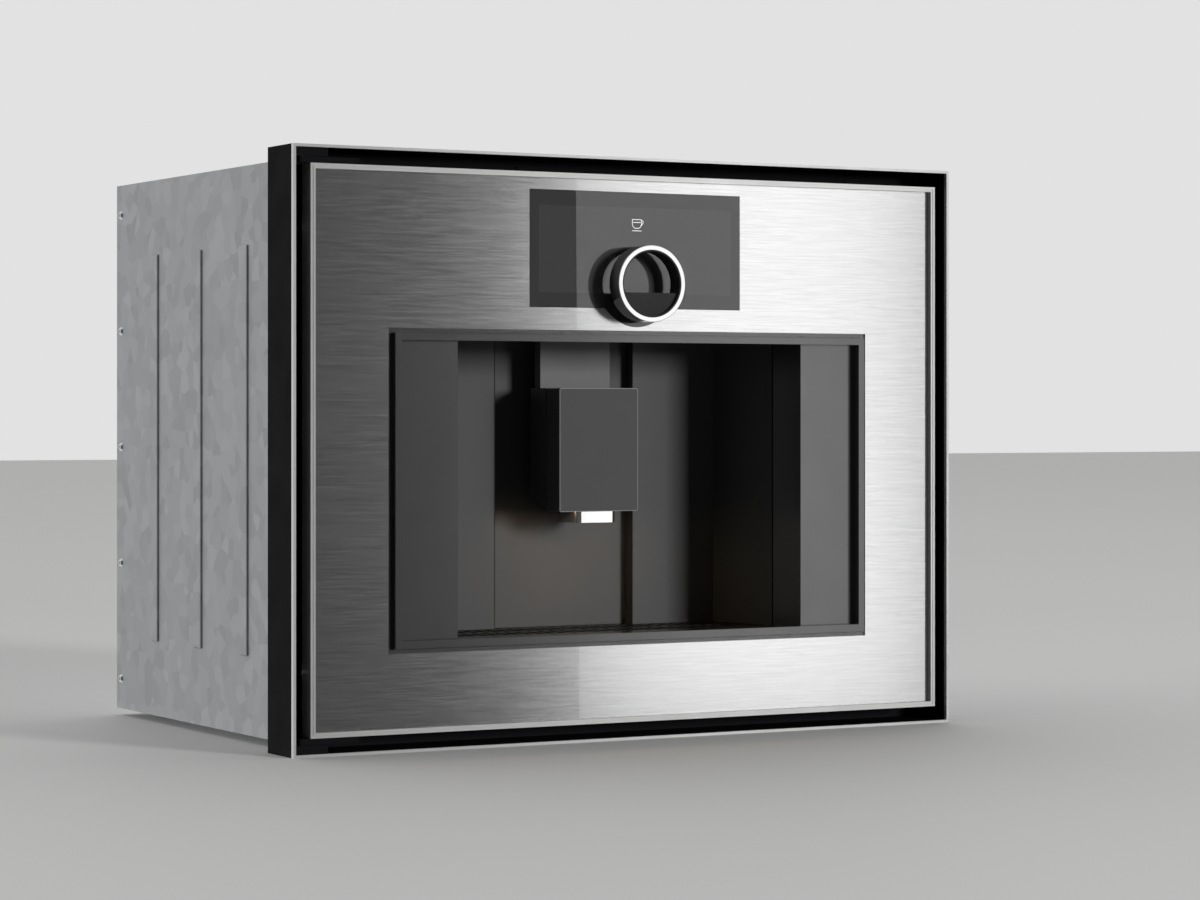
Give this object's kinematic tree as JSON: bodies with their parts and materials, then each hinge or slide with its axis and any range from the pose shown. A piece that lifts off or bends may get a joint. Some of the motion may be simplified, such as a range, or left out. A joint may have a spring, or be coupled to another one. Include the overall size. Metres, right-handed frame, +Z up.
{
  "type": "built in coffee machine",
  "caption": "Built in coffee machine: framed glass and steel door with rotary knob and display over a lit bay with an adjustable outlet.",
  "frame": {"origin": "bottom centre of the whole machine, on the plane that its feet and collar stand on", "axes": "+X to the right seen from the front, +Y into the cabinet, +Z up"},
  "size_m": [0.59, 0.423, 0.455],
  "materials": {
    "stainless_trim": "bright brushed edge",
    "brushed_front": "long horizontal brush lines",
    "black_enamel": "deep black, satin",
    "galvanised": "zinc coated sheet",
    "anthracite": "fine satin lacquer",
    "anthracite_plastic": "fine satin",
    "black_plastic": "moulded, fine grain",
    "grey_plastic": "moulded",
    "clear_glass": "polished toughened glass",
    "dark_display": "display panel behind glass",
    "clear_plastic": "smoke tinted clear plastic",
    "polished_steel": "polished",
    "satin_steel": "satin",
    "cast_aluminium": "as cast",
    "circuit_board": "solder mask",
    "rubber": "soft black rubber",
    "silicone": "milky silicone",
    "ceramic_burr": "white ceramic",
    "magnet": "nickel plated",
    "lamp_lens": "frosted lens"
  },
  "bodies": {
    "housing": {"collar_trim": "stainless_trim", "collar_sleeve": "black_enamel", "front_bulkhead": "black_enamel", "casing_screws": "black_enamel", "door_magnets": "magnet", "base_pan": "galvanised", "left_panel": "galvanised", "right_panel": "galvanised", "top_cover": "galvanised", "rear_panel": "galvanised", "mains_inlet": "black_plastic", "feet": "rubber", "bay_left_wall": "anthracite", "bay_right_wall": "anthracite", "bay_back_wall": "anthracite", "bay_ceiling": "anthracite", "guide_rods": "polished_steel", "rod_brackets": "black_plastic", "hinge_brackets": "black_enamel", "hinge_pins": "satin_steel", "tank_dock": "black_plastic", "container_shelves": "galvanised", "grinder_housing": "grey_plastic", "fixed_burr": "ceramic_burr", "grinder_motor": "cast_aluminium", "brew_frame": "grey_plastic", "brew_motor": "cast_aluminium", "thermoblock": "cast_aluminium", "water_pump": "black_plastic", "power_board": "circuit_board", "fan_housing": "black_plastic", "water_hoses": "silicone", "wiring_harness": "rubber"},
    "door": {"door_frame": "stainless_trim", "front_glass": "clear_glass", "steel_sheet": "brushed_front", "window_trim": "anthracite", "window_liner": "anthracite_plastic", "door_pan": "black_enamel", "display_module": "dark_display", "control_board": "circuit_board", "knob_hub": "black_plastic", "hinge_arms": "black_enamel"},
    "knob": {"knob_ring": "polished_steel"},
    "outlet": {"outlet_cover": "anthracite", "outlet_lamps": "lamp_lens", "outlet_rear_housing": "anthracite_plastic", "outlet_mast": "anthracite", "nozzle_block": "satin_steel", "outlet_carriage": "black_plastic"},
    "drip_drawer": {"drip_tray": "black_plastic", "drip_grid": "anthracite"},
    "grounds_drawer": {"grounds_container": "black_plastic"},
    "tank": {"water_tank": "clear_plastic", "tank_lid": "black_plastic"},
    "hopper": {"bean_hopper": "clear_plastic"},
    "burr": {"rotating_burr": "ceramic_burr"},
    "spindle": {"brew_spindle": "polished_steel"},
    "piston": {"brew_piston": "black_plastic"},
    "fan": {"fan_rotor": "black_plastic"}
  },
  "joints": [
    {"name": "door_hinge", "type": "hinge", "parent": "housing", "child": "door", "pos_m": [-0.287, -0.1878, 0.2275], "axis": [0, 0, -1], "range_deg": [0, 110]},
    {"name": "knob_turn", "type": "hinge", "parent": "door", "child": "knob", "pos_m": [0, -0.204, 0.3559], "axis": [0, 1, 0], "continuous": true},
    {"name": "outlet_height", "type": "slide", "parent": "housing", "child": "outlet", "axis": [0, 0, 1], "range_m": [-0.015, 0.065]},
    {"name": "drip_tray_slide", "type": "slide", "parent": "housing", "child": "drip_drawer", "axis": [0, -1, 0], "range_m": [0, 0.0965]},
    {"name": "grounds_slide", "type": "slide", "parent": "housing", "child": "grounds_drawer", "axis": [0, -1, 0], "range_m": [0, 0.0815]},
    {"name": "tank_slide", "type": "slide", "parent": "housing", "child": "tank", "axis": [0, -1, 0], "range_m": [0, 0.1285]},
    {"name": "hopper_slide", "type": "slide", "parent": "housing", "child": "hopper", "axis": [0, -1, 0], "range_m": [0, 0.0815]},
    {"name": "burr_spin", "type": "hinge", "parent": "housing", "child": "burr", "pos_m": [-0.198, -0.0262, 0.2], "axis": [0, 0, 1], "continuous": true},
    {"name": "spindle_turn", "type": "hinge", "parent": "housing", "child": "spindle", "pos_m": [0, 0.0338, 0.3], "axis": [0, 0, 1], "range_deg": [0, 1440]},
    {"name": "piston_slide", "type": "slide", "parent": "housing", "child": "piston", "axis": [0, 0, -1], "range_m": [0, 0.0361]},
    {"name": "fan_spin", "type": "hinge", "parent": "housing", "child": "fan", "pos_m": [-0.1, 0.1988, 0.38], "axis": [0, 1, 0], "continuous": true}
  ],
  "couplings": [
    {"joint": "drip_tray_slide", "follows": "door_hinge", "m_per_rad": 0.05},
    {"joint": "grounds_slide", "follows": "door_hinge", "m_per_rad": 0.042},
    {"joint": "tank_slide", "follows": "door_hinge", "m_per_rad": 0.0665},
    {"joint": "hopper_slide", "follows": "door_hinge", "m_per_rad": 0.042},
    {"joint": "piston_slide", "follows": "spindle_turn", "m_per_rad": 0.0014324}
  ]
}
